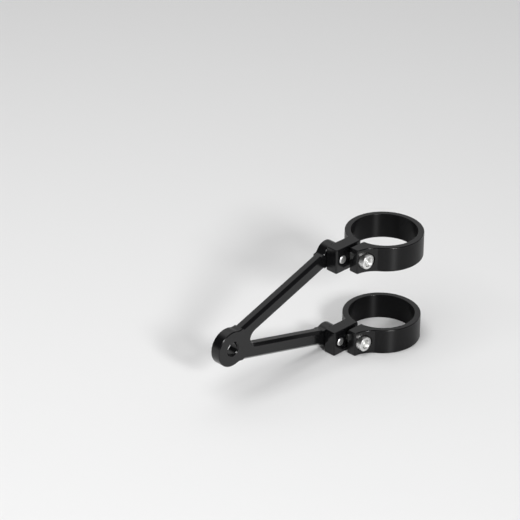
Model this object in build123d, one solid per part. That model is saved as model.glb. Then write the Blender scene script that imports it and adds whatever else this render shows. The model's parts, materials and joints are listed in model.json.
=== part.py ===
from build123d import *
import math
import os

# A lamp bracket for a motorcycle's fork: two split clamps that close round the fork tube, and a flat
# V-shaped arm that swivels on one screw at each clamp and carries the lamp's bolt at its apex.
# Millimetres. +Z is up the fork tube, +X from the tube to the apex and +Y the side of the pinch screws.
# The origin is on the tube's axis, halfway up the lower clamp.

# Fork clamps
bore_radius = 21.5
ring_wall = 4.0
clamp_height = 17.0
clamp_spacing = 60.0
slot_width = 2.6
slot_offset = 0.5         # slot's middle, towards the ear
lug_thickness = 9.0
ear_thickness = 6.6
pinch_offset = 2.0        # pinch screw's axis outside the ring
ear_end_margin = 5.9      # ear beyond the pinch screw's axis
ear_blend_radius = 18.0   # hollow from the ring to the ear's outer face
screw_pitch = 9.5         # pinch screw to arm screw
lug_end_margin = 6.0      # lug beyond the arm screw's axis
lug_root_radius = 3.0
corner_radius = 1.0
clamp_edge_radius = 0.9
bore_edge_break = 0.5
spot_face_depth = 1.9     # below the ear's outer face, for the pinch screw's head
spot_face_clearance = 0.3

# Arm
arm_thickness = 7.5
eye_radius = 8.0
boss_radius = 12.0
bar_width = 10.0
lower_bar_inset = 2.9     # bar's outer edge inside the boss's rim
upper_bar_inset = 3.9
apex_reach = 87.4         # arm screws to the lamp bolt, along X
apex_rise = 26.0          # lower arm screw to the lamp bolt, along Z
lamp_hole_radius = 4.25
lamp_hole_break = 0.8
crotch_radius = 4.7
eye_fillet = 3.0
boss_fillet = 6.0
bar_chamfer = 1.8
chamfer_stop = 2.0        # uncut rim left round the boss and the eyes
arm_edge_break = 0.5
counterbore_depth = 5.0   # for the arm screws' heads, in the outer face
counterbore_clearance = 0.3

# Cap screws, M6
screw_radius = 3.0
head_radius = 5.0
head_height = 6.0
head_edge_break = 0.6
socket_flats = 5.0
socket_depth = 3.0
screw_tip_break = 0.8
arm_screw_projection = 0.4   # past the lug, into the slot
pinch_screw_setback = 0.3    # short of the lug's outer face

# Fits
thread_clearance = 0.05
pivot_clearance = 0.1
pinch_hole_clearance = 0.3
swivel_gap = 0.05

# Places that follow from those sizes
ring_radius = bore_radius + ring_wall
pinch_x = ring_radius + pinch_offset
ear_end_x = pinch_x + ear_end_margin
arm_screw_x = pinch_x + screw_pitch
lug_end_x = arm_screw_x + lug_end_margin
slot_lug_y = slot_offset - slot_width / 2
slot_ear_y = slot_offset + slot_width / 2
ear_face_y = slot_ear_y + ear_thickness
pinch_seat_y = ear_face_y - spot_face_depth
lug_face_y = slot_lug_y - lug_thickness
arm_face_y = lug_face_y - swivel_gap
arm_back_y = arm_face_y - arm_thickness
arm_seat_y = arm_back_y + counterbore_depth - swivel_gap
pinch_screw_length = pinch_seat_y - lug_face_y - pinch_screw_setback
arm_screw_length = slot_lug_y + arm_screw_projection - arm_seat_y

lower_eye = Vector(arm_screw_x, 0)
upper_eye = Vector(arm_screw_x, clamp_spacing)
boss_centre = Vector(arm_screw_x + apex_reach, apex_rise)

clear = 1.0               # how far a cutting tool runs past what it cuts


def rod_along_y(x, z, y_from, y_to, radius):
    """A cylinder along Y between two places, in either order."""
    return Pos(x, (y_from + y_to) / 2, z) * Rot(90, 0, 0) * Cylinder(radius, abs(y_to - y_from))


def strip(x_end, y_from, y_to):
    """A flat rectangle from the tube's axis out along X."""
    return Polygon((0, y_from), (x_end, y_from), (x_end, y_to), (0, y_to), align=None)


def clamp():
    """One split clamp about the origin: ring, long lug, short ear and the slot between them."""
    # The ear's blend needs a longer ear than the one that is left
    ear_blank_x = ear_end_x + ear_blend_radius
    profile = Circle(ring_radius) + strip(ear_blank_x, slot_ear_y, ear_face_y)
    hollow = [v for v in profile.vertices() if abs(v.Y - ear_face_y) < 0.01 and v.X < ring_radius]
    profile = fillet(hollow, ear_blend_radius)
    profile -= Pos(ear_end_x, 0) * strip(ear_blank_x, 0, ring_radius)

    profile += strip(lug_end_x, lug_face_y, slot_lug_y)
    profile -= strip(lug_end_x, slot_lug_y, slot_ear_y)
    ends = [v for v in profile.vertices() if v.X > (pinch_x + ring_radius) / 2]
    rounded = [v for v in ends if abs(v.Y - slot_ear_y) > 0.01]   # the slot's saw leaves the ear sharp
    profile = fillet(rounded, corner_radius)
    roots = [v for v in profile.vertices() if abs(v.Y - lug_face_y) < 0.01 and v.X < ring_radius]
    profile = fillet(roots, lug_root_radius)
    body = Pos(0, 0, -clamp_height / 2) * extrude(profile, clamp_height)
    flats = body.faces().filter_by(Axis.Z)
    rims = [e for f in flats for e in f.edges() if abs(e.length - slot_width) > 0.01]
    body = fillet(rims, clamp_edge_radius)

    half = clamp_height / 2
    flare = half + clear
    bore_section = Polygon(
        (0, -flare),
        (bore_radius + bore_edge_break + clear, -flare),
        (bore_radius, -half + bore_edge_break),
        (bore_radius, half - bore_edge_break),
        (bore_radius + bore_edge_break + clear, flare),
        (0, flare),
        align=None,
    )
    body -= revolve(Plane.XZ * bore_section, Axis.Z)

    body -= rod_along_y(pinch_x, 0, pinch_seat_y, ring_radius + clear, head_radius + spot_face_clearance)
    body -= rod_along_y(pinch_x, 0, 0, ring_radius, screw_radius + pinch_hole_clearance)
    for x in (pinch_x, arm_screw_x):
        body -= rod_along_y(x, 0, 0, lug_face_y - clear, screw_radius + thread_clearance)
    return body


def meeting_point(normal_a, level_a, normal_b, level_b):
    """Where two lines meet, each given as normal . point = level."""
    cross = normal_a.X * normal_b.Y - normal_a.Y * normal_b.X
    return Vector(
        (level_a * normal_b.Y - level_b * normal_a.Y) / cross,
        (normal_a.X * level_b - normal_b.X * level_a) / cross,
    )


def arc(centre, start, end, long_way=False):
    """The arc about a centre between two of its points."""
    middle = ((start - centre) + (end - centre)).normalized() * (start - centre).length
    return ThreePointArc(start, centre - middle if long_way else centre + middle, end)


class Bar:
    """One bar of the arm, from its eye to the boss: its run, its outward side and its fillets."""

    def __init__(self, eye, side, inset):
        span = boss_centre - eye
        offset = boss_radius - inset - bar_width / 2
        lean = math.degrees(math.asin(offset / span.length))
        self.eye = eye
        self.along = span.normalized().rotate(Axis.Z, side * lean)
        self.outward = self.along.rotate(Axis.Z, side * 90)
        self.reach = span.dot(self.along)
        self.inner_level = self.outward.dot(eye) - bar_width / 2

        fillet_out = bar_width / 2 + eye_fillet
        fillet_along = math.sqrt((eye_radius + eye_fillet) ** 2 - fillet_out**2)
        self.eye_fillets = [self.point(fillet_along, fillet_out), self.point(fillet_along, -fillet_out)]
        to_touch = eye_radius / (eye_radius + eye_fillet)
        self.eye_touches = [eye + (centre - eye) * to_touch for centre in self.eye_fillets]
        self.eye_ends = [self.point(fillet_along, out) for out in (bar_width / 2, -bar_width / 2)]

        rim_fall = math.sqrt(inset * (2 * boss_radius + 2 * boss_fillet - inset))
        self.boss_blend = self.point(self.reach - rim_fall, bar_width / 2 + boss_fillet)
        self.boss_end = self.point(self.reach - rim_fall, bar_width / 2)
        to_blend = self.boss_blend - boss_centre
        self.boss_touch = boss_centre + to_blend * (boss_radius / (boss_radius + boss_fillet))

    def point(self, run, out):
        return self.eye + self.along * run + self.outward * out

    def crotch_end(self, crotch):
        return crotch + self.outward * crotch_radius

    def eye_side(self, crotch):
        """The outline from the boss round the eye and back to the crotch."""
        outer, inner = 0, 1
        return [
            arc(self.boss_blend, self.boss_touch, self.boss_end),
            Line(self.boss_end, self.eye_ends[outer]),
            arc(self.eye_fillets[outer], self.eye_ends[outer], self.eye_touches[outer]),
            arc(self.eye, self.eye_touches[outer], self.eye_touches[inner], long_way=True),
            arc(self.eye_fillets[inner], self.eye_touches[inner], self.eye_ends[inner]),
            Line(self.eye_ends[inner], self.crotch_end(crotch)),
        ]


def chamfer_section(edge, outward):
    """What a chamfer takes off both faces of the plate, at an edge that looks outward."""
    face = arm_thickness / 2
    corner = Polygon(
        (edge - outward * (bar_chamfer + clear), face + clear),
        (edge + outward * clear, face - bar_chamfer - clear),
        (edge + outward * clear, face + clear),
        align=None,
    )
    return corner + mirror(corner, Plane.XZ)


def arm():
    """The milled arm: a V of two bars between two eyes and a boss, chamfered along its bars."""
    lower = Bar(lower_eye, -1, lower_bar_inset)
    upper = Bar(upper_eye, 1, upper_bar_inset)
    bars = (lower, upper)

    # The round of the crotch touches the inner edges of both bars
    levels = [bar.inner_level - crotch_radius for bar in bars]
    crotch = meeting_point(lower.outward, levels[0], upper.outward, levels[1])
    outline = [
        *lower.eye_side(crotch),
        *upper.eye_side(crotch),
        arc(crotch, lower.crotch_end(crotch), upper.crotch_end(crotch)),
        arc(boss_centre, lower.boss_touch, upper.boss_touch, long_way=True),
    ]
    plate = extrude(Plane.XZ.offset(-arm_face_y) * make_face(outline), arm_thickness)
    rims = [e for f in plate.faces().filter_by(Axis.Y) for e in f.edges()]
    plate = chamfer(rims, arm_edge_break)

    mid_y = (arm_face_y + arm_back_y) / 2
    through = (arm_face_y + clear, arm_back_y - clear)
    stops = [rod_along_y(boss_centre.X, boss_centre.Y, *through, boss_radius + chamfer_stop)]
    stops += [rod_along_y(bar.eye.X, bar.eye.Y, *through, eye_radius + chamfer_stop) for bar in bars]
    section = chamfer_section(bar_width / 2, 1)
    for bar in bars:
        inner_reach = (bar.crotch_end(crotch) - bar.eye).dot(bar.along)
        for normal, length in ((bar.outward, bar.reach), (-bar.outward, inner_reach)):
            start = Plane(
                origin=(bar.eye.X, mid_y, bar.eye.Y),
                x_dir=(normal.X, 0, normal.Y),
                z_dir=(bar.along.X, 0, bar.along.Y),
            )
            cutter = extrude(start * section, length)
            for stop in stops:
                cutter -= stop
            plate -= cutter

    # The inner chamfers run into each other round the crotch
    crotch_place = (crotch.X, mid_y, crotch.Y)
    round_section = Pos(*crotch_place) * chamfer_section(crotch_radius, -1)
    plate -= revolve(round_section, Axis(crotch_place, (0, 1, 0)))

    counterbore = (arm_back_y - clear, arm_back_y + counterbore_depth)
    for bar in bars:
        plate -= rod_along_y(bar.eye.X, bar.eye.Y, *through, screw_radius + pivot_clearance)
        plate -= rod_along_y(bar.eye.X, bar.eye.Y, *counterbore, head_radius + counterbore_clearance)
    plate -= rod_along_y(boss_centre.X, boss_centre.Y, *through, lamp_hole_radius)
    hole_rims = [
        e
        for e in plate.edges().filter_by(GeomType.CIRCLE)
        if abs(e.radius - lamp_hole_radius) < 0.01 and e.is_closed
    ]
    return chamfer(hole_rims, lamp_hole_break)


def cap_screw(length):
    """A socket cap screw along Z: head above the origin, shank below it."""
    head = Pos(0, 0, head_height / 2) * Cylinder(head_radius, head_height)
    head = chamfer(head.edges().sort_by(Axis.Z)[-1], head_edge_break)
    shank = Pos(0, 0, -length / 2) * Cylinder(screw_radius, length)
    shank = chamfer(shank.edges().sort_by(Axis.Z)[0], screw_tip_break)
    hexagon = RegularPolygon(socket_flats / 2, 6, major_radius=False)
    socket = extrude(Pos(0, 0, head_height) * hexagon, -socket_depth)
    return head + shank - socket


pinch_place = Pos(pinch_x, pinch_seat_y, 0) * Rot(-90, 0, 0)
arm_screw_place = Pos(arm_screw_x, arm_seat_y, 0) * Rot(90, 0, 0)

clamp_shape = clamp()
pinch_screw = pinch_place * cap_screw(pinch_screw_length)
arm_screw = arm_screw_place * cap_screw(arm_screw_length)
up = Pos(0, 0, clamp_spacing)

nodes = {
    "arm": arm(),
    "lower_clamp": clamp_shape,
    "upper_clamp": up * clamp_shape,
    "lower_pinch_screw": pinch_screw,
    "upper_pinch_screw": up * pinch_screw,
    "lower_arm_screw": arm_screw,
    "upper_arm_screw": up * arm_screw,
}

os.makedirs("parts", exist_ok=True)
for name, shape in nodes.items():
    export_step(shape, f"parts/{name}.step")
    print(name, round(shape.volume, 1))
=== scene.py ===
import json
import math

import bpy
from mathutils import Matrix, Vector


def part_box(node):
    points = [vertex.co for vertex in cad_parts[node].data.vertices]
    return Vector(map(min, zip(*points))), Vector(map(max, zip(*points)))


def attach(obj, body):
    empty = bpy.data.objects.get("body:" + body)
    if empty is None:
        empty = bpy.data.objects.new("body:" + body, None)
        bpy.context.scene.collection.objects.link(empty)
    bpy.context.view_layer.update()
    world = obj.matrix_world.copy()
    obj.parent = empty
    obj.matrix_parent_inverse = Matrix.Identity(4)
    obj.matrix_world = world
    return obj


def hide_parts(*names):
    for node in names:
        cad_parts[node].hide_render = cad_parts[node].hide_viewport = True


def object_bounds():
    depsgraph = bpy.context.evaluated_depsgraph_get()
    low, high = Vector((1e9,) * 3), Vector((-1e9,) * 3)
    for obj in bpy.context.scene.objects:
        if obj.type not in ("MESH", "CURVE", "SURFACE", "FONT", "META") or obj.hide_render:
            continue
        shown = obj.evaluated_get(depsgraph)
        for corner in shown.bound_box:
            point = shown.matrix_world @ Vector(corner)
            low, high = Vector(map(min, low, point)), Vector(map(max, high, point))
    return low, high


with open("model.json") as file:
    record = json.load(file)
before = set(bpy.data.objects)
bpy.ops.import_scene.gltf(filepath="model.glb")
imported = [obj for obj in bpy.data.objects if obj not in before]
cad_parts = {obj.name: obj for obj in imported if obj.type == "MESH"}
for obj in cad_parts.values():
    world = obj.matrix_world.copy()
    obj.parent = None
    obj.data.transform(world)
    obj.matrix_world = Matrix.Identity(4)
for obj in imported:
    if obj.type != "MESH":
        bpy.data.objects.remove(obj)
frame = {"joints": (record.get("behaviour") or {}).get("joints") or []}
cadLow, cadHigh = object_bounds()

mm = 0.001
right, forward, up = Vector((1, 0, 0)), Vector((0, 1, 0)), Vector((0, 0, 1))
quarterTurn = math.pi / 2
weld = 0.004 * mm  # points closer than this are one point
near = 0.04 * mm  # points this close to a circle lie on it
past = 1.0 * mm  # cutters run this far past a face
flats = {"hole": 48, "rod": 72, "head": 96, "stop": 144}  # flat sides that stand for a round

# Places that the solids give
clampLow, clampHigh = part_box("lower_clamp")
armLow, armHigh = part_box("arm")
pinchLow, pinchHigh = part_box("lower_pinch_screw")
armScrewLow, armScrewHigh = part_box("lower_arm_screw")
pivots = [Vector(joint["pos_m"]) for joint in frame["joints"]]
pinchX = (pinchLow.x + pinchHigh.x) / 2
armScrewX = pivots[0].x
clampSpacing = pivots[1].z - pivots[0].z


# Bench tools

def benchClear():
    if bpy.context.mode != "OBJECT":
        bpy.ops.object.mode_set(mode="OBJECT")
    bpy.ops.object.select_all(action="DESELECT")


def workOn(obj):
    benchClear()
    bpy.context.view_layer.objects.active = obj
    obj.select_set(True)


def settle(obj):  # puts the piece's place into its mesh
    workOn(obj)
    bpy.ops.object.transform_apply(location=True, rotation=True, scale=True)
    return obj


def pickEdges(obj, test):  # leaves edit mode on, with the edges that pass selected
    workOn(obj)
    bpy.ops.object.mode_set(mode="EDIT")
    bpy.ops.mesh.select_mode(type="EDGE")
    bpy.ops.mesh.select_all(action="DESELECT")
    bpy.ops.object.mode_set(mode="OBJECT")
    points = obj.data.vertices
    for edge in obj.data.edges:
        edge.select = test(*(points[i].co for i in edge.vertices))
    bpy.ops.object.mode_set(mode="EDIT")


def pickFaces(obj, test):  # the same for faces, by centre and normal
    workOn(obj)
    bpy.ops.object.mode_set(mode="EDIT")
    bpy.ops.mesh.select_mode(type="FACE")
    bpy.ops.mesh.select_all(action="DESELECT")
    bpy.ops.object.mode_set(mode="OBJECT")
    for face in obj.data.polygons:
        face.select = test(face.center, face.normal)
    bpy.ops.object.mode_set(mode="EDIT")


def applyModifier(obj, kind, **settings):
    workOn(obj)
    modifier = obj.modifiers.new(kind.lower(), kind)
    for name, value in settings.items():
        setattr(modifier, name, value)
    bpy.ops.object.modifier_apply(modifier=modifier.name)


def combine(obj, tool, operation):
    applyModifier(obj, "BOOLEAN", operation=operation, solver="EXACT", object=tool)
    bpy.data.objects.remove(tool)


def rodAlongY(x, z, yFrom, yTo, radius, endRadius=None, sides=flats["rod"]):
    benchClear()
    bpy.ops.mesh.primitive_cone_add(
        vertices=sides,
        radius1=radius,
        radius2=radius if endRadius is None else endRadius,
        depth=yTo - yFrom,
        location=(x, (yFrom + yTo) / 2, z),
        rotation=(-quarterTurn, 0, 0),
    )
    return settle(bpy.context.object)


def drill(obj, *place, **shape):
    combine(obj, rodAlongY(*place, **shape), "DIFFERENCE")


def smoothFinish(obj, angle, weight=60):  # edges sharper than the angle, in degrees, stay sharp
    workOn(obj)
    bpy.ops.object.mode_set(mode="EDIT")
    bpy.ops.mesh.select_all(action="SELECT")
    bpy.ops.mesh.remove_doubles(threshold=weld)
    bpy.ops.mesh.normals_make_consistent(inside=False)
    bpy.ops.object.mode_set(mode="OBJECT")
    bpy.ops.object.shade_smooth_by_angle(angle=math.radians(angle))
    applyModifier(obj, "WEIGHTED_NORMAL", mode="FACE_AREA", weight=weight, keep_sharp=True)


def copyUp(obj, name, rise):
    workOn(obj)
    bpy.ops.object.duplicate()
    copy = bpy.context.object
    copy.name = name
    copy.location.z = rise
    return settle(copy)


class Pen:
    # Draws an outline in edit mode, from one point that is extruded along lines and spun round arcs
    fewest = 6  # steps in the shortest arc

    def __init__(self, name, start, across, along, level=0):
        self.across, self.along = across, along
        self.axis = across.cross(along)
        self.level = self.axis * level
        self.at = Vector(start)
        benchClear()
        bpy.ops.mesh.primitive_plane_add(size=mm)
        self.obj = bpy.context.object
        self.obj.name = name
        bpy.ops.object.mode_set(mode="EDIT")
        bpy.ops.mesh.select_mode(type="VERT")
        bpy.ops.mesh.select_all(action="SELECT")
        bpy.ops.mesh.merge(type="CENTER")
        bpy.ops.mesh.select_all(action="SELECT")
        bpy.ops.transform.translate(value=self.place(self.at))

    def place(self, point):
        return self.level + self.across * point[0] + self.along * point[1]

    def lineTo(self, point):
        step = self.place(point) - self.place(self.at)
        bpy.ops.mesh.extrude_region_move(TRANSFORM_OT_translate={"value": step})
        self.at = Vector(point)

    def arcTo(self, centre, end, turn, step):  # turn 1 is anticlockwise, -1 clockwise; step in degrees
        begin, finish = self.at - Vector(centre), Vector(end) - Vector(centre)
        swept = turn * (math.atan2(finish.y, finish.x) - math.atan2(begin.y, begin.x)) % math.tau
        steps = max(self.fewest, math.ceil(math.degrees(swept) / step))
        bpy.ops.mesh.spin(steps=steps, angle=-turn * swept, center=self.place(centre), axis=self.axis)
        self.at = Vector(end)

    def fillAndExtrude(self, depth):
        bpy.ops.mesh.select_all(action="SELECT")
        bpy.ops.mesh.remove_doubles(threshold=weld)
        bpy.ops.mesh.edge_face_add()
        bpy.ops.mesh.extrude_region_move(TRANSFORM_OT_translate={"value": self.axis * depth})
        bpy.ops.mesh.select_all(action="SELECT")
        bpy.ops.mesh.normals_make_consistent(inside=False)
        bpy.ops.object.mode_set(mode="OBJECT")
        return self.obj


# Fork clamps

clampSizes = {
    "bore": 21.5 * mm,
    "slotAtLug": -0.8 * mm,  # the slot's two faces, in Y
    "slotAtEar": 1.8 * mm,
    "lugThickness": 9.0 * mm,
    "earThickness": 6.6 * mm,
    "earPastScrew": 5.9 * mm,
    "earBlend": 18.0 * mm,  # hollow from the ring to the ear
    "lugRoot": 3.0 * mm,
    "corner": 1.0 * mm,
    "rim": 0.9 * mm,
    "boreRim": 0.5 * mm,
    "spotFace": 5.3 * mm,
    "spotFaceDepth": 1.9 * mm,
    "tappedHole": 3.05 * mm,
    "clearHole": 3.3 * mm,
    "ringStep": 2,  # degrees in each step of an arc
    "blendStep": 2.5,
    "rootStep": 6,
    "cornerStep": 10,
    "rimSegments": 4,
    "sharpAngle": 30,
}


def makeClamp(name):
    s = clampSizes
    ring, lugEnd = clampHigh.y, clampHigh.x
    bottom, height = clampLow.z, clampHigh.z - clampLow.z
    corner, root, blend = s["corner"], s["lugRoot"], s["earBlend"]
    lugSlot, earSlot = s["slotAtLug"], s["slotAtEar"]
    lugFace, earFace = lugSlot - s["lugThickness"], earSlot + s["earThickness"]
    earEnd = pinchX + s["earPastScrew"]
    boreAtLug, boreAtEar = (math.sqrt(s["bore"] ** 2 - y**2) for y in (lugSlot, earSlot))
    centre = Vector((0, 0))
    rootCentre = Vector((math.sqrt((ring + root) ** 2 - (lugFace - root) ** 2), lugFace - root))
    blendCentre = Vector((math.sqrt((ring + blend) ** 2 - (earFace + blend) ** 2), earFace + blend))
    cornerX = earEnd - corner
    cornerFall = math.sqrt((blend + corner) ** 2 - (blendCentre.x - cornerX) ** 2)
    earCorner = Vector((cornerX, blendCentre.y - cornerFall))

    pen = Pen(name, (boreAtEar, earSlot), right, forward, bottom)
    pen.lineTo((earEnd, earSlot))
    pen.lineTo((earEnd, earCorner.y))
    pen.arcTo(earCorner, earCorner.lerp(blendCentre, corner / (blend + corner)), 1, s["cornerStep"])
    pen.arcTo(blendCentre, blendCentre * (ring / (ring + blend)), -1, s["blendStep"])
    pen.arcTo(centre, rootCentre * (ring / (ring + root)), 1, s["ringStep"])
    pen.arcTo(rootCentre, rootCentre + Vector((0, root)), -1, s["rootStep"])
    pen.lineTo((lugEnd - corner, lugFace))
    pen.arcTo((lugEnd - corner, lugFace + corner), (lugEnd, lugFace + corner), 1, s["cornerStep"])
    pen.lineTo((lugEnd, lugSlot - corner))
    pen.arcTo((lugEnd - corner, lugSlot - corner), (lugEnd - corner, lugSlot), 1, s["cornerStep"])
    pen.lineTo((boreAtLug, lugSlot))
    pen.arcTo(centre, (boreAtEar, earSlot), -1, s["ringStep"])
    clamp = pen.fillAndExtrude(height)

    def onRim(a, b):
        return abs(a.z - b.z) < weld

    def onBoreRim(a, b):
        return onRim(a, b) and max(abs(p.xy.length - s["bore"]) for p in (a, b)) < near

    # One bevel for every rim, narrower round the bore by its weight
    pickEdges(clamp, onRim)
    bpy.ops.transform.edge_bevelweight(value=1)
    pickEdges(clamp, onBoreRim)
    bpy.ops.transform.edge_bevelweight(value=s["boreRim"] / s["rim"] - 1)
    applyModifier(clamp, "BEVEL", width=s["rim"], segments=s["rimSegments"], limit_method="WEIGHT")

    seat = earFace - s["spotFaceDepth"]
    drill(clamp, pinchX, 0, seat, ring + past, s["spotFace"])
    drill(clamp, pinchX, 0, 0, ring, s["clearHole"], sides=flats["hole"])
    for x in (pinchX, armScrewX):
        drill(clamp, x, 0, lugFace - past, 0, s["tappedHole"], sides=flats["hole"])
    smoothFinish(clamp, s["sharpAngle"])
    return clamp


lowerClamp = makeClamp("lowerClamp")
upperClamp = copyUp(lowerClamp, "upperClamp", clampSpacing)
print("clamps:", len(lowerClamp.data.polygons), "faces each")


# Milled arm

armSizes = {
    "eye": 8.0 * mm,
    "boss": 12.0 * mm,
    "barWidth": 10.0 * mm,
    "lowerInset": 2.9 * mm,  # bar's outer edge inside the boss's rim
    "upperInset": 3.9 * mm,
    "bossRise": 26.0 * mm,
    "crotch": 4.7 * mm,
    "eyeFillet": 3.0 * mm,
    "bossFillet": 6.0 * mm,
    "chamfer": 1.8 * mm,
    "chamferStop": 2.0 * mm,  # uncut rim round the boss and the eyes
    "rim": 0.5 * mm,
    "pivotHole": 3.1 * mm,
    "counterbore": 5.3 * mm,
    "counterboreDepth": 5.0 * mm,
    "lampHole": 4.25 * mm,
    "lampHoleRim": 0.8 * mm,
    "chamferTool": 5.0 * mm,  # side of the square rod that cuts the chamfers
    "bossStep": 3,  # degrees in each step of an arc
    "eyeStep": 4,
    "filletStep": 5,
    "sharpAngle": 25,
}


def turned(vector, angle):
    c, s = math.cos(angle), math.sin(angle)
    return Vector((c * vector.x - s * vector.y, s * vector.x + c * vector.y))


def inArmPlane(point, y):
    return Vector((point.x, y, point.y))


class Bar:
    # One bar of the V, in X and Z: the points where its edges meet the eye and the boss
    def __init__(self, eye, boss, side, inset):
        s = armSizes
        half = s["barWidth"] / 2
        span = boss - eye
        lean = side * math.asin((s["boss"] - inset - half) / span.length)
        self.eye = eye
        self.run = turned(span.normalized(), lean)
        self.out = turned(self.run, side * quarterTurn)
        self.reach = span.dot(self.run)
        self.innerLevel = self.out.dot(eye) - half

        filletOut = half + s["eyeFillet"]
        filletRun = math.sqrt((s["eye"] + s["eyeFillet"]) ** 2 - filletOut**2)
        self.eyeFillets = [self.point(filletRun, k * filletOut) for k in (1, -1)]
        share = s["eye"] / (s["eye"] + s["eyeFillet"])
        self.eyeTouches = [eye + (centre - eye) * share for centre in self.eyeFillets]
        self.eyeEnds = [self.point(filletRun, k * half) for k in (1, -1)]

        fall = math.sqrt(inset * (2 * s["boss"] + 2 * s["bossFillet"] - inset))
        self.bossFillet = self.point(self.reach - fall, half + s["bossFillet"])
        self.bossEnd = self.point(self.reach - fall, half)
        share = s["boss"] / (s["boss"] + s["bossFillet"])
        self.bossTouch = boss + (self.bossFillet - boss) * share

    def point(self, run, out):
        return self.eye + self.run * run + self.out * out


def makeArm(name):
    s = armSizes
    boss = Vector((armHigh.x - s["boss"], pivots[0].z + s["bossRise"]))
    lower = Bar(Vector((armScrewX, pivots[0].z)), boss, -1, s["lowerInset"])
    upper = Bar(Vector((armScrewX, pivots[1].z)), boss, 1, s["upperInset"])
    bars = (lower, upper)
    face, back = armHigh.y, armLow.y

    # Centre of the round in the crotch, which touches both inner edges
    levels = [bar.innerLevel - s["crotch"] for bar in bars]
    cross = lower.out.x * upper.out.y - lower.out.y * upper.out.x
    crotch = Vector((
        (levels[0] * upper.out.y - levels[1] * lower.out.y) / cross,
        (lower.out.x * levels[1] - upper.out.x * levels[0]) / cross,
    ))

    fine, finer, finest = s["filletStep"], s["eyeStep"], s["bossStep"]
    pen = Pen(name, lower.bossTouch, right, up, -face)
    pen.arcTo(lower.bossFillet, lower.bossEnd, 1, fine)
    pen.lineTo(lower.eyeEnds[0])
    pen.arcTo(lower.eyeFillets[0], lower.eyeTouches[0], 1, fine)
    pen.arcTo(lower.eye, lower.eyeTouches[1], -1, finer)
    pen.arcTo(lower.eyeFillets[1], lower.eyeEnds[1], 1, fine)
    pen.lineTo(crotch + lower.out * s["crotch"])
    pen.arcTo(crotch, crotch + upper.out * s["crotch"], 1, fine)
    pen.lineTo(upper.eyeEnds[1])
    pen.arcTo(upper.eyeFillets[1], upper.eyeTouches[1], 1, fine)
    pen.arcTo(upper.eye, upper.eyeTouches[0], -1, finer)
    pen.arcTo(upper.eyeFillets[0], upper.eyeEnds[0], 1, fine)
    pen.lineTo(upper.bossEnd)
    pen.arcTo(upper.bossFillet, upper.bossTouch, 1, fine)
    pen.arcTo(boss, lower.bossTouch, -1, finest)
    arm = pen.fillAndExtrude(face - back)

    def onRim(a, b):
        return abs(a.y - b.y) < weld

    pickEdges(arm, onRim)
    bpy.ops.mesh.bevel(offset=s["rim"], segments=1, affect="EDGES")
    bpy.ops.object.mode_set(mode="OBJECT")

    for bar in bars:
        stops = ((boss, s["boss"]), (bar.eye, s["eye"]))
        chamferBar(arm, bar, stops, 1, bar.reach)
        chamferBar(arm, bar, stops, -1, (crotch - bar.eye).dot(bar.run))

    # A cone on each side takes the same chamfer round the crotch
    deep = s["chamfer"] + past
    wide, narrow = s["crotch"] + deep, s["crotch"] - past
    drill(arm, crotch.x, crotch.y, face - deep, face + past, narrow, wide)
    drill(arm, crotch.x, crotch.y, back - past, back + deep, wide, narrow)

    through = (back - past, face + past)
    for bar in bars:
        drill(arm, bar.eye.x, bar.eye.y, *through, s["pivotHole"], sides=flats["hole"])
        drill(arm, bar.eye.x, bar.eye.y, back - past, back + s["counterboreDepth"], s["counterbore"])
    drill(arm, boss.x, boss.y, *through, s["lampHole"])

    def onLampHole(a, b):
        across = max(abs((p.xz - boss).length - s["lampHole"]) for p in (a, b))
        return onRim(a, b) and across < near

    pickEdges(arm, onLampHole)
    bpy.ops.mesh.bevel(offset=s["lampHoleRim"], segments=1, affect="EDGES")
    bpy.ops.object.mode_set(mode="OBJECT")
    smoothFinish(arm, s["sharpAngle"])
    return arm


def chamferBar(arm, bar, stops, side, length):
    # A square rod along the bar's edge, cut off at circles round the eye and the boss, takes the corner off
    s = armSizes
    square = s["chamferTool"]
    lift = square / 2 - s["chamfer"] / math.sqrt(2)  # rod's axis above the plate's corner
    run = inArmPlane(bar.run, 0)
    for y, facing in ((armHigh.y, 1), (armLow.y, -1)):
        corner = inArmPlane(bar.point(length / 2, side * s["barWidth"] / 2), y)
        outward = (inArmPlane(bar.out * side, 0) + forward * facing).normalized()
        benchClear()
        bpy.ops.mesh.primitive_cube_add(size=1)
        rod = bpy.context.object
        rod.rotation_euler = Matrix((run, outward.cross(run), outward)).transposed().to_euler()
        rod.location = corner + outward * lift
        rod.scale = (length, square, square)
        settle(rod)
        for centre, radius in stops:
            reach = radius + s["chamferStop"]
            drill(rod, centre.x, centre.y, armLow.y - square, armHigh.y + square, reach, sides=flats["stop"])
        combine(arm, rod, "DIFFERENCE")


arm = makeArm("milledArm")
print("arm:", len(arm.data.polygons), "faces")


# Cap screws

screwSizes = {
    "headHeight": 6.0 * mm,
    "headRim": 0.6 * mm,
    "seatRim": 0.2 * mm,
    "acrossFlats": 5.0 * mm,
    "socketDepth": 3.0 * mm,
    "socketPoint": 0.7 * mm,
    "socketMouth": 0.25 * mm,
    "shank": 3.0 * mm,
    "pitch": 1.0 * mm,
    "threadDepth": 0.6 * mm,
    "crest": (0.44, 0.56),  # flat of the thread, as shares of the pitch
    "spareTurns": 3,  # trimmed off at both ends
    "turnsBelow": 2,  # of those, the ones past the tip
    "turnSteps": 36,
    "tip": 0.8 * mm,
    "rimSegments": 4,
    "seatSegments": 2,
    "sharpAngle": 35,
}


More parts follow.
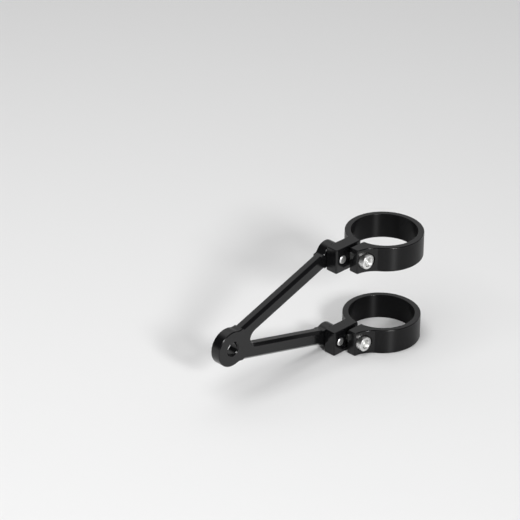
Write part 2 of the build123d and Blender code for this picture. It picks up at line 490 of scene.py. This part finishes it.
def makeHead(name, radius):  # up along Z, its seat at the origin
    s = screwSizes
    height = s["headHeight"]
    benchClear()
    bpy.ops.mesh.primitive_cylinder_add(
        vertices=flats["head"], radius=radius, depth=height, location=(0, 0, height / 2)
    )
    head = settle(bpy.context.object)
    head.name = name
    pickEdges(head, lambda a, b: min(a.z, b.z) > height - weld)
    bpy.ops.mesh.bevel(offset=s["headRim"], segments=s["rimSegments"], affect="EDGES")
    pickEdges(head, lambda a, b: max(a.z, b.z) < weld)
    bpy.ops.mesh.bevel(offset=s["seatRim"], segments=s["seatSegments"], affect="EDGES")
    bpy.ops.object.mode_set(mode="OBJECT")
    return head


def cutSocket(head):  # hexagon with a drilled point and a broken mouth
    s = screwSizes
    height, depth = s["headHeight"], s["socketDepth"]
    cornerRadius = s["acrossFlats"] / math.sqrt(3)
    benchClear()
    bpy.ops.mesh.primitive_cylinder_add(
        vertices=6,
        radius=cornerRadius,
        depth=depth + past,
        location=(0, 0, height - depth / 2 + past / 2),
    )
    hexTool = settle(bpy.context.object)
    pickFaces(hexTool, lambda centre, normal: centre.z < height - depth + weld)
    bpy.ops.mesh.extrude_region_move(TRANSFORM_OT_translate={"value": (0, 0, -s["socketPoint"])})
    bpy.ops.mesh.merge(type="CENTER")
    bpy.ops.object.mode_set(mode="OBJECT")
    combine(head, hexTool, "DIFFERENCE")

    wide = cornerRadius + s["socketMouth"] + past
    benchClear()
    bpy.ops.mesh.primitive_cone_add(
        vertices=flats["head"],
        radius1=0,
        radius2=wide,
        depth=wide,
        location=(0, 0, height + past - wide / 2),
    )
    combine(head, bpy.context.object, "DIFFERENCE")


def makeThread(length):  # a helix, trimmed by a rod with a pointed tip
    s = screwSizes
    shank, pitch = s["shank"], s["pitch"]
    root = shank - s["threadDepth"]
    start = -length - s["turnsBelow"] * pitch
    pen = Pen("thread", (root, start), right, up)
    for share in s["crest"]:
        pen.lineTo((shank, start + share * pitch))
    pen.lineTo((root, start + pitch))
    bpy.ops.object.mode_set(mode="OBJECT")
    thread = pen.obj
    applyModifier(
        thread,
        "SCREW",
        axis="Z",
        screw_offset=pitch,
        iterations=math.ceil(length / pitch) + s["spareTurns"],
        steps=s["turnSteps"],
        render_steps=s["turnSteps"],
        use_merge_vertices=True,
        merge_threshold=weld,
    )
    workOn(thread)
    bpy.ops.object.mode_set(mode="EDIT")
    bpy.ops.mesh.select_all(action="SELECT")
    bpy.ops.mesh.remove_doubles(threshold=weld)
    bpy.ops.mesh.fill_holes(sides=0)
    bpy.ops.mesh.select_all(action="SELECT")
    bpy.ops.mesh.normals_make_consistent(inside=False)
    bpy.ops.object.mode_set(mode="OBJECT")

    benchClear()
    bpy.ops.mesh.primitive_cylinder_add(
        vertices=flats["rod"],
        radius=shank,
        depth=length + past,
        location=(0, 0, (past - length) / 2),
    )
    envelope = settle(bpy.context.object)
    pickEdges(envelope, lambda a, b: max(a.z, b.z) < weld - length)
    bpy.ops.mesh.bevel(offset=s["tip"], segments=1, affect="EDGES")
    bpy.ops.object.mode_set(mode="OBJECT")
    combine(thread, envelope, "INTERSECT")
    return thread


def makeScrew(name, headRadius, length):
    screw = makeHead(name, headRadius)
    cutSocket(screw)
    combine(screw, makeThread(length), "UNION")
    smoothFinish(screw, screwSizes["sharpAngle"])
    return screw


def fitScrew(screw, place, turn):
    screw.rotation_euler = (turn, 0, 0)
    screw.location = place
    settle(screw)


headRadius = (pinchHigh.x - pinchLow.x) / 2
headHeight = screwSizes["headHeight"]
pinchSeat = pinchHigh.y - headHeight
armSeat = armScrewLow.y + headHeight
lowerPinch = makeScrew("lowerPinchScrew", headRadius, pinchSeat - pinchLow.y)
fitScrew(lowerPinch, (pinchX, pinchSeat, 0), -quarterTurn)
lowerArmScrew = makeScrew("lowerArmScrew", headRadius, armScrewHigh.y - armSeat)
fitScrew(lowerArmScrew, (armScrewX, armSeat, 0), quarterTurn)
upperPinch = copyUp(lowerPinch, "upperPinchScrew", clampSpacing)
upperArmScrew = copyUp(lowerArmScrew, "upperArmScrew", clampSpacing)
print("screws:", len(lowerPinch.data.polygons), "and", len(lowerArmScrew.data.polygons), "faces")


# Finishes

class Wire:
    # Wraps a socket, so that shader maths reads as Python
    def __init__(self, tree, socket=None):
        self.tree, self.socket = tree, socket

    def node(self, kind, settings, sockets, output=0):  # settings first, then values or links
        made = self.tree.nodes.new(kind)
        for name, value in settings.items():
            setattr(made, name, value)
        for name, value in sockets.items():
            if isinstance(value, Wire):
                self.tree.links.new(value.socket, made.inputs[name])
            else:
                made.inputs[name].default_value = value
        return Wire(self.tree, made.outputs[output])

    def maths(self, operation, first, second):
        return self.node("ShaderNodeMath", {"operation": operation}, {0: first, 1: second})

    def __add__(self, other):
        return self.maths("ADD", self, other)

    def __radd__(self, other):
        return self.maths("ADD", other, self)

    def __sub__(self, other):
        return self.maths("SUBTRACT", self, other)

    def __rsub__(self, other):
        return self.maths("SUBTRACT", other, self)

    def __mul__(self, other):
        return self.maths("MULTIPLY", self, other)

    def __rmul__(self, other):
        return self.maths("MULTIPLY", other, self)


def newFinish(name):
    material = bpy.data.materials.new(name)
    material.use_nodes = True
    tree = material.node_tree
    tree.nodes.clear()
    output = tree.nodes.new("ShaderNodeOutputMaterial")
    return material, Wire(tree), output


def link(wire, socket):
    wire.tree.links.new(wire.socket, socket)


def noise(wire, coords, scale, detail):
    made = wire.node("ShaderNodeTexNoise", {}, {"Vector": coords, "Scale": scale, "Detail": detail}, "Fac")
    return made - 0.5  # so that it varies about zero


anodised = {
    "colour": (0.0042, 0.0042, 0.0046, 1),
    "cloudScale": 70.0,
    "cloudDetail": 4.0,
    "markDetail": 3.0,
    "acrossMarks": 0.25,  # light spreads across the turning marks
    "milled": {"roughness": 0.19, "spread": 0.05, "grain": 1400.0, "stretch": (1.0, 1.0, 1.0),
               "depth": 0.004 * mm, "streak": 0.0, "ior": 1.42},
    "turned": {"roughness": 0.36, "spread": 0.05, "grain": 1500.0, "stretch": (0.02, 0.02, 3.0),
               "depth": 0.01 * mm, "streak": 0.95, "ior": 1.34},
    "bored": {"roughness": 0.42, "spread": 0.05, "grain": 1500.0, "stretch": (0.02, 0.02, 3.0),
              "depth": 0.01 * mm, "streak": 0.95, "ior": 1.27},
}


def makeAnodised(name, cut):
    s = anodised
    c = s[cut]
    material, wire, output = newFinish(name)
    coords = wire.node("ShaderNodeTexCoord", {}, {}, "Object")
    cutCoords = wire.node("ShaderNodeMapping", {}, {"Vector": coords, "Scale": c["stretch"]})
    marks = noise(wire, cutCoords, c["grain"], s["markDetail"])
    cloud = noise(wire, coords, s["cloudScale"], s["cloudDetail"])
    bump = wire.node("ShaderNodeBump", {}, {"Height": marks, "Strength": 1.0, "Distance": c["depth"]})
    rough = c["roughness"] + (cloud + marks) * c["spread"]
    shader = wire.node(
        "ShaderNodeBsdfPrincipled",
        {},
        {
            "Base Color": s["colour"],
            "Roughness": rough,
            "IOR": c["ior"],
            "Anisotropic": c["streak"],
            "Anisotropic Rotation": s["acrossMarks"],
            "Normal": bump,
        },
    )
    link(shader, output.inputs["Surface"])
    return material


steel = {
    "colour": (0.85, 0.85, 0.84, 1),
    "roughness": 0.37,
    "spread": 0.12,
    "grain": 1100.0,
    "detail": 3.0,
}


def makeSteel(name):
    s = steel
    material, wire, output = newFinish(name)
    coords = wire.node("ShaderNodeTexCoord", {}, {}, "Object")
    rough = s["roughness"] + noise(wire, coords, s["grain"], s["detail"]) * s["spread"]
    shader = wire.node(
        "ShaderNodeBsdfPrincipled",
        {},
        {"Base Color": s["colour"], "Roughness": rough, "Metallic": 1.0},
    )
    link(shader, output.inputs["Surface"])
    return material


turnedBlack = makeAnodised("turnedBlack", "turned")
boredBlack = makeAnodised("boredBlack", "bored")
milledBlack = makeAnodised("milledBlack", "milled")
screwSteel = makeSteel("screwSteel")

pieces = [
    (lowerClamp, "lower_clamp", "lower_clamp", milledBlack, "black_anodised"),
    (upperClamp, "upper_clamp", "upper_clamp", milledBlack, "black_anodised"),
    (arm, "arm", "arm", milledBlack, "black_anodised"),
    (lowerPinch, "lower_pinch_screw", "lower_clamp", screwSteel, "screw_steel"),
    (upperPinch, "upper_pinch_screw", "upper_clamp", screwSteel, "screw_steel"),
    (lowerArmScrew, "lower_arm_screw", "lower_clamp", screwSteel, "screw_steel"),
    (upperArmScrew, "upper_arm_screw", "upper_clamp", screwSteel, "screw_steel"),
]
for piece, node, body, finish, slot in pieces:
    piece.data.materials.clear()
    piece.data.materials.append(finish)
    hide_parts(node)
    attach(piece, body)

# The rings' round walls are turned and bored, and the rest is milled
roundWall = {
    "upright": 0.2,  # most that a wall's normal may lean
    "facing": 0.985,  # least that it points from, or to, the ring's axis
    "reach": 25.7 * mm,  # just outside the ring
}


def roundWallFacing(side):
    s = roundWall

    def onWall(centre, normal):
        outward = centre.xy.normalized()
        upright = abs(normal.z) < s["upright"] and centre.xy.length < s["reach"]
        return upright and side * outward.dot(normal.xy) > s["facing"]

    return onWall


for clamp in (lowerClamp, upperClamp):
    for place, (finish, side) in enumerate(((turnedBlack, 1), (boredBlack, -1)), 1):
        clamp.data.materials.append(finish)
        pickFaces(clamp, roundWallFacing(side))
        clamp.active_material_index = place
        bpy.ops.object.material_slot_assign()
        benchClear()
print("finishes set on", len(pieces), "pieces")


# Studio

studio = {
    "floorSize": 12.0,
    "floorColour": (0.82, 0.82, 0.82, 1),
    "floorRoughness": 0.8,
    "floorGloss": 0.1,
    "floorGap": 0.02 * mm,  # below the clamp
    "keyPlace": (-2.0, 66.0, 1.4),  # azimuth from +X, elevation, distance
    "keySize": 1.2,
    "keyWatts": 13.4,
    "fillPlace": (72.0, 28.0, 3.6),
    "fillSize": 0.6,
    "fillWatts": 72.0,
}


def aimedAt(azimuth, elevation):
    a, e = math.radians(azimuth), math.radians(elevation)
    return Vector((math.cos(e) * math.cos(a), math.cos(e) * math.sin(a), math.sin(e)))


def softLight(name, place, size, watts):
    azimuth, elevation, distance = place
    towards = aimedAt(azimuth, elevation)
    benchClear()
    bpy.ops.object.light_add(type="AREA", location=towards * distance)
    light = bpy.context.object
    light.name = name
    light.rotation_mode = "QUATERNION"
    light.rotation_quaternion = towards.to_track_quat("Z", "Y")
    light.data.shape = "SQUARE"
    light.data.size = size
    light.data.energy = watts
    return light


benchClear()
bpy.ops.mesh.primitive_plane_add(size=studio["floorSize"], location=(0, 0, cadLow.z - studio["floorGap"]))
floor = bpy.context.object
floor.name = "floor"
material, wire, output = newFinish("palePaper")
paper = wire.node(
    "ShaderNodeBsdfPrincipled",
    {},
    {
        "Base Color": studio["floorColour"],
        "Roughness": studio["floorRoughness"],
        "Specular IOR Level": studio["floorGloss"],
    },
)
link(paper, output.inputs["Surface"])
floor.data.materials.append(material)

key = softLight("key", studio["keyPlace"], studio["keySize"], studio["keyWatts"])
key.visible_glossy = False  # too soft to show as a shape in the dark rims
softLight("fill", studio["fillPlace"], studio["fillSize"], studio["fillWatts"])


# Camera

cameraSizes = {
    "azimuth": 45.28,  # from +X towards +Y
    "elevation": 28.54,
    "roll": 0.606,
    "distance": 1681.1 * mm,
    "lens": 178.28,
    "sensor": 36.0,
    "seesTo": 50.0,
    "sideways": -78.8 * mm,
    "upwards": 48.16 * mm,
}


def placeCamera():
    s = cameraSizes
    back = aimedAt(s["azimuth"], s["elevation"])
    level = up.cross(back).normalized()
    above = back.cross(level)
    c, k = math.cos(math.radians(s["roll"])), math.sin(math.radians(s["roll"]))
    level, above = level * c + above * k, above * c - level * k
    foot = Vector((0, 0, cadLow.z))
    aim = foot + level * s["sideways"] + above * s["upwards"]
    benchClear()
    bpy.ops.object.camera_add(location=aim + back * s["distance"])
    camera = bpy.context.object
    camera.data.lens = s["lens"]
    camera.data.sensor_width = s["sensor"]
    camera.data.clip_end = s["seesTo"]
    camera.rotation_mode = "QUATERNION"
    camera.rotation_quaternion = Matrix((level, above, back)).transposed().to_quaternion()
    bpy.context.scene.camera = camera


placeCamera()


# Sky: dim in front above a pale horizon, and brighter with height behind the part

skyLevels = {
    "front": {"from": 5, "to": 8, "low": 0.42, "high": 0.05},  # degrees up, and the level at each
    "back": {"from": 25, "to": 55, "low": 0.48, "high": 1.15},
    "turnToBack": (0.2, 0.55),  # share of a direction that points away from the camera
}


def makeSky():
    world = bpy.data.worlds.new("studioWorld")
    bpy.context.scene.world = world
    world.use_nodes = True
    world.node_tree.nodes.clear()
    wire = Wire(world.node_tree)
    direction = wire.node("ShaderNodeTexCoord", {}, {}, "Generated")
    height = wire.node("ShaderNodeSeparateXYZ", {}, {"Vector": direction}, "Z")
    away = -aimedAt(cameraSizes["azimuth"], 0)
    dot, smooth = {"operation": "DOT_PRODUCT"}, {"interpolation_type": "SMOOTHSTEP"}
    facing = wire.node("ShaderNodeVectorMath", dot, {0: direction, 1: away}, "Value")

    def graded(part):
        g = skyLevels[part]
        return wire.node("ShaderNodeMapRange", smooth, {
            "Value": height,
            "From Min": math.sin(math.radians(g["from"])),
            "From Max": math.sin(math.radians(g["to"])),
            "To Min": g["low"],
            "To Max": g["high"],
        })

    begin, end = skyLevels["turnToBack"]
    behind = wire.node("ShaderNodeMapRange", smooth, {"Value": facing, "From Min": begin, "From Max": end})
    front, back = graded("front"), graded("back")
    level = front + behind * (back - front)
    glow = wire.node("ShaderNodeBackground", {}, {"Color": (1, 1, 1, 1), "Strength": level})
    link(glow, world.node_tree.nodes.new("ShaderNodeOutputWorld").inputs["Surface"])


makeSky()

bpy.context.scene.view_settings.view_transform = "Standard"
print("studio ready")
